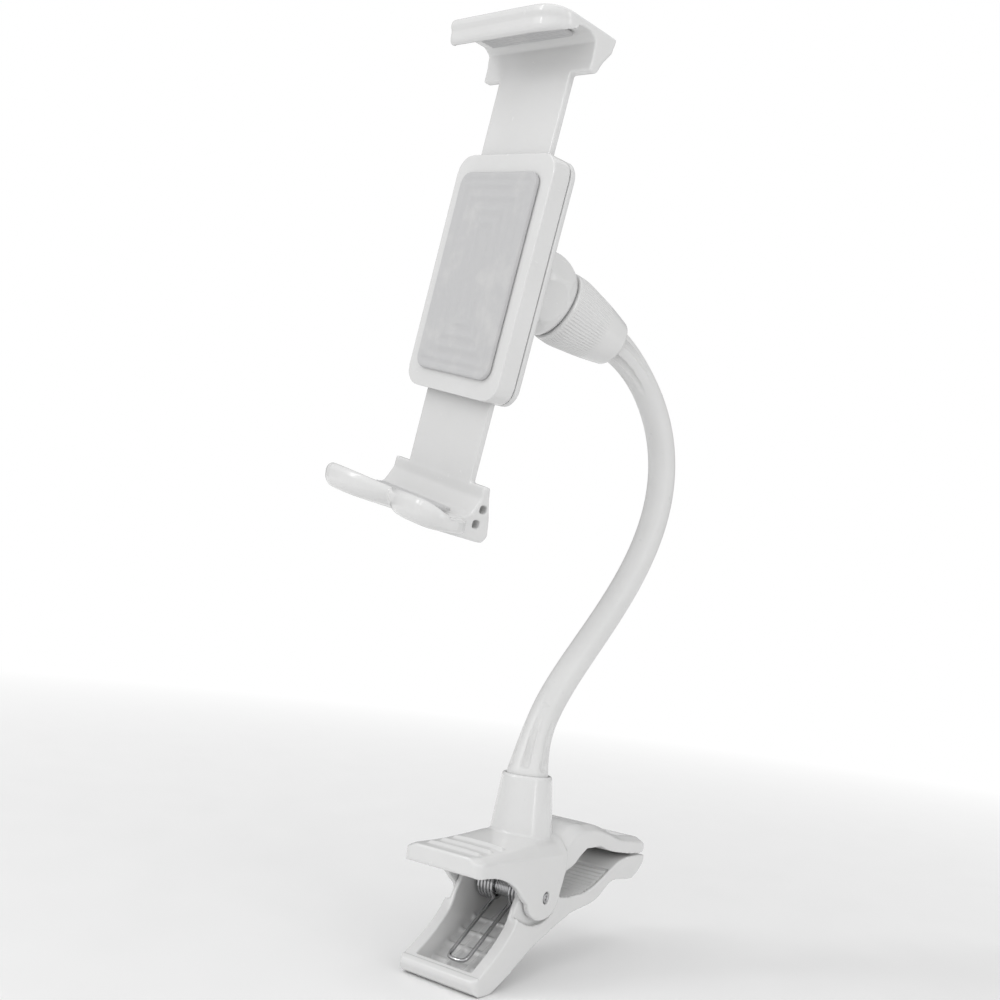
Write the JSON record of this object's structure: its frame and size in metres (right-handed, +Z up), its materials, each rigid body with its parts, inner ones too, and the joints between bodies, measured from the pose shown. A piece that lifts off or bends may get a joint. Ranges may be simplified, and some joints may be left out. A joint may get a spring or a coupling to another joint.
{
  "type": "clip-on phone stand",
  "caption": "Clip-on phone holder: a spring clip carries a flexible neck, a lockable ball joint and a cradle with sprung, geared jaws.",
  "frame": {"origin": "on the flat grip face of the upper jaw, on the clip's middle plane", "axes": "+Z up along the clip's boss and out of the back of the grip face, +Y from the clip's handles towards its jaws, +X along the hinge pin"},
  "size_m": [0.0952, 0.1286, 0.2893],
  "materials": {
    "gloss_white_plastic": "glossy moulded white",
    "satin_white_plastic": "satin white",
    "sleeve_white_vinyl": "smooth flexible white sleeve",
    "grey_rubber": "matte grey",
    "bright_steel": "bright plated steel",
    "natural_nylon": "natural white nylon"
  },
  "bodies": {
    "clip_upper": {"upper_lever": "gloss_white_plastic", "upper_grip_pad": "satin_white_plastic", "hinge_pin": "bright_steel", "spring_spool": "bright_steel", "torsion_spring": "bright_steel", "neck_foot_plug": "bright_steel", "neck_foot_screw": "bright_steel", "neck_sleeve_1": "sleeve_white_vinyl", "neck_core_1": "bright_steel"},
    "clip_lower": {"lower_lever": "gloss_white_plastic", "lower_grip_pad": "satin_white_plastic"},
    "neck_2": {"neck_sleeve_2": "sleeve_white_vinyl", "neck_core_2": "bright_steel"},
    "neck_3": {"neck_sleeve_3": "sleeve_white_vinyl", "neck_core_3": "bright_steel"},
    "neck_4": {"neck_sleeve_4": "sleeve_white_vinyl", "neck_core_4": "bright_steel"},
    "neck_head": {"neck_sleeve_5": "sleeve_white_vinyl", "neck_core_5": "bright_steel", "neck_head_plug": "bright_steel", "socket_collar": "gloss_white_plastic"},
    "lock_nut": {"lock_nut": "gloss_white_plastic"},
    "ball_cup": {"ball_cup": "natural_nylon"},
    "swivel_ball": {"swivel_ball": "natural_nylon"},
    "cradle": {"ball_stud": "bright_steel", "cradle_shell": "gloss_white_plastic", "rear_cover": "satin_white_plastic", "cover_screw_upper_left": "bright_steel", "cover_screw_upper_right": "bright_steel", "cover_screw_lower_left": "bright_steel", "cover_screw_lower_right": "bright_steel", "rest_pad": "grey_rubber", "right_cradle_spring": "bright_steel", "left_cradle_spring": "bright_steel"},
    "pinion": {"pinion": "natural_nylon"},
    "upper_jaw": {"upper_jaw": "gloss_white_plastic", "upper_lip_pad": "grey_rubber"},
    "lower_jaw": {"lower_jaw": "gloss_white_plastic", "lower_lip_pad": "grey_rubber"}
  },
  "joints": [
    {"name": "clip_squeeze", "type": "hinge", "parent": "clip_upper", "child": "clip_lower", "pos_m": [0, -0.02985, -0.012], "axis": [-1, 0, 0], "range_deg": [0, 28], "stiffness_Nm_per_rad": 0.35, "springref_deg": -34.38, "deforming": ["torsion_spring"]},
    {"name": "neck_bend_1", "type": "hinge", "parent": "clip_upper", "child": "neck_2", "pos_m": [0.00156, -0.01671, 0.0489], "axis": [0.9933, -0.0627, -0.0976], "range_deg": [-30, 30], "stiffness_Nm_per_rad": 8},
    {"name": "neck_bend_2", "type": "hinge", "parent": "neck_2", "child": "neck_3", "pos_m": [0.00611, 0.00216, 0.07528], "axis": [0, 0.8242, -0.5664], "range_deg": [-30, 30], "stiffness_Nm_per_rad": 8},
    {"name": "neck_bend_3", "type": "hinge", "parent": "neck_3", "child": "neck_4", "pos_m": [0.01116, 0.01944, 0.1117], "axis": [-0.9968, 0.016, 0.0781], "range_deg": [-30, 30], "stiffness_Nm_per_rad": 8},
    {"name": "neck_bend_4", "type": "hinge", "parent": "neck_4", "child": "neck_head", "pos_m": [0.01098, 0.01423, 0.14612], "axis": [0.9948, -0.0518, 0.0879], "range_deg": [-25, 25], "stiffness_Nm_per_rad": 8},
    {"name": "nut_turn", "type": "hinge", "parent": "neck_head", "child": "lock_nut", "pos_m": [-0.00895, -0.045, 0.1773], "axis": [0.3488, 0.9016, -0.2559], "range_deg": [0, 270]},
    {"name": "cradle_pitch", "type": "hinge", "parent": "neck_head", "child": "ball_cup", "pos_m": [-0.00895, -0.045, 0.1773], "axis": [0.9465, -0.1995, -0.2538], "range_deg": [-40, 10], "stiffness_Nm_per_rad": 3},
    {"name": "cradle_yaw", "type": "hinge", "parent": "ball_cup", "child": "swivel_ball", "pos_m": [-0.00895, -0.045, 0.1773], "axis": [0.2383, -0.0984, 0.9662], "range_deg": [-37.5, 12.5], "stiffness_Nm_per_rad": 3},
    {"name": "cradle_spin", "type": "hinge", "parent": "swivel_ball", "child": "cradle", "pos_m": [-0.00895, -0.045, 0.1773], "axis": [-0.2177, -0.975, -0.0456], "continuous": true},
    {"name": "upper_jaw_slide", "type": "slide", "parent": "cradle", "child": "upper_jaw", "axis": [0.2383, -0.0984, 0.9662], "range_m": [-0.024, 0.008], "stiffness_N_per_m": 200, "deforming": ["right_cradle_spring"]},
    {"name": "lower_jaw_slide", "type": "slide", "parent": "cradle", "child": "lower_jaw", "axis": [-0.2383, 0.0984, -0.9662], "range_m": [-0.024, 0.008], "deforming": ["left_cradle_spring"]},
    {"name": "pinion_turn", "type": "hinge", "parent": "cradle", "child": "pinion", "pos_m": [-0.01339, -0.06255, 0.17454], "axis": [0.2177, 0.975, 0.0456], "range_deg": [-80, 232]}
  ],
  "couplings": [
    {"joint": "lower_jaw_slide", "follows": "upper_jaw_slide", "ratio": 1},
    {"joint": "pinion_turn", "follows": "upper_jaw_slide", "rad_per_m": -166.67}
  ]
}
